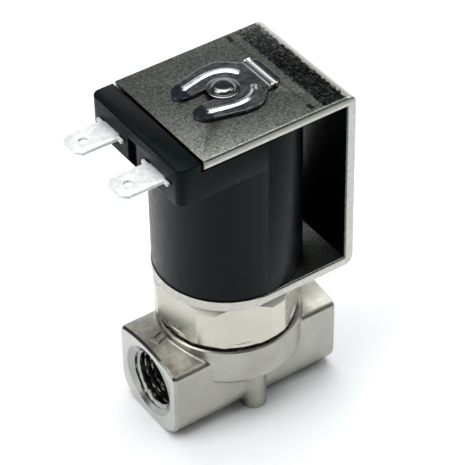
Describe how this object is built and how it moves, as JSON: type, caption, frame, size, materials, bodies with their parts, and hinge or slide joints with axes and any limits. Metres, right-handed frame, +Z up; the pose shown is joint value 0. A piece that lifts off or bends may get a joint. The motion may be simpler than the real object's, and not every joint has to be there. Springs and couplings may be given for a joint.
{
  "type": "solenoid valve",
  "caption": "Direct-acting solenoid valve: plated body with opposed threaded ports, hexagon bonnet, moulded coil in a C-shaped yoke, push-on blades and a spring clip.",
  "frame": {"origin": "on the coil and seat axis, at the flat underside of the valve body", "axes": "+Z up along the coil axis, +X along the flow from inlet to outlet, +Y to the left of the flow; the coil's blades point along -X"},
  "size_m": [0.0491, 0.03, 0.0748],
  "materials": {
    "plated_brass": "satin nickel plating",
    "yoke_steel": "mottled zinc plating",
    "coil_plastic": "semi-gloss black moulding",
    "tinned_brass": "bright tin",
    "spring_steel": "polished",
    "stainless": "turned",
    "copper": "enamelled copper",
    "rubber": "matt",
    "spool_plastic": "natural glass-filled nylon",
    "tape": "polyester film"
  },
  "bodies": {
    "valve": {"valve_body": "plated_brass", "valve_seat": "stainless", "bonnet_nut": "plated_brass", "bonnet_o_ring": "rubber", "guide_tube": "stainless", "fixed_core": "stainless", "shading_ring": "copper", "plunger_spring": "spring_steel"},
    "armature": {"plunger": "stainless", "plunger_seal": "rubber"},
    "coil": {"yoke": "yoke_steel", "yoke_bush": "yoke_steel", "coil_housing": "coil_plastic", "coil_bobbin": "spool_plastic", "coil_winding": "copper", "winding_tape": "tape", "winding_lead_left": "copper", "winding_lead_right": "copper", "terminal_left": "tinned_brass", "terminal_right": "tinned_brass"},
    "clip": {"retaining_clip": "spring_steel"}
  },
  "joints": [
    {"name": "plunger_lift", "type": "slide", "parent": "valve", "child": "armature", "axis": [0, 0, 1], "range_m": [0, 0.0012], "stiffness_N_per_m": 250, "springref_m": -0.006, "deforming": ["plunger_spring"]},
    {"name": "coil_swivel", "type": "hinge", "parent": "valve", "child": "coil", "pos_m": [0, 0, 0.0525], "axis": [0, 0, 1], "continuous": true},
    {"name": "clip_slide", "type": "slide", "parent": "coil", "child": "clip", "axis": [1, 0, 0], "range_m": [0, 0.012]}
  ]
}
